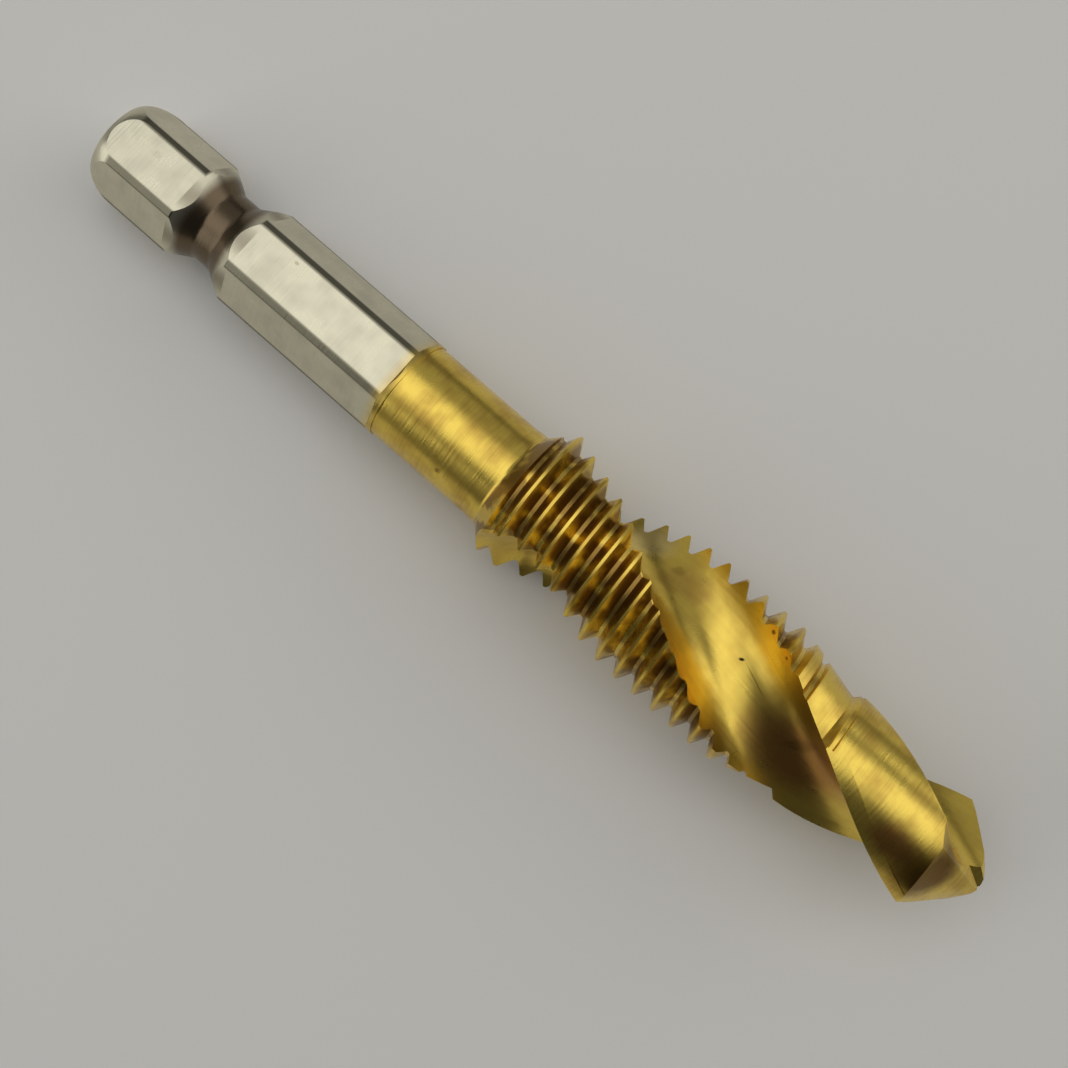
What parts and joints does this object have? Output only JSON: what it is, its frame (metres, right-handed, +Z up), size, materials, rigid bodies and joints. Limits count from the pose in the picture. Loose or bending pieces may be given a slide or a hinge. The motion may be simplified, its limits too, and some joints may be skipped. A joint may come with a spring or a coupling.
{
  "type": "combined drill and tap bit with a hexagonal shank",
  "caption": "Combined drill and tap: hexagonal shank with a detent groove, plain neck, threaded tap section with helical flutes, and a twist drill point.",
  "frame": {"origin": "centre of the shank's rear end, on the tool's axis", "axes": "the tool lies as it rests: its axis runs from the origin towards +X and climbs by about 2.9 degrees towards +Z, +Y is across it and level, and +Z is up"},
  "size_m": [0.0714, 0.01, 0.0108],
  "materials": {
    "high_speed_steel": "ground high-speed steel, titanium nitride coated from the neck to the tip and bare on the hexagon"
  },
  "bodies": {
    "root": {"drill_tap": "high_speed_steel"}
  },
  "joints": []
}
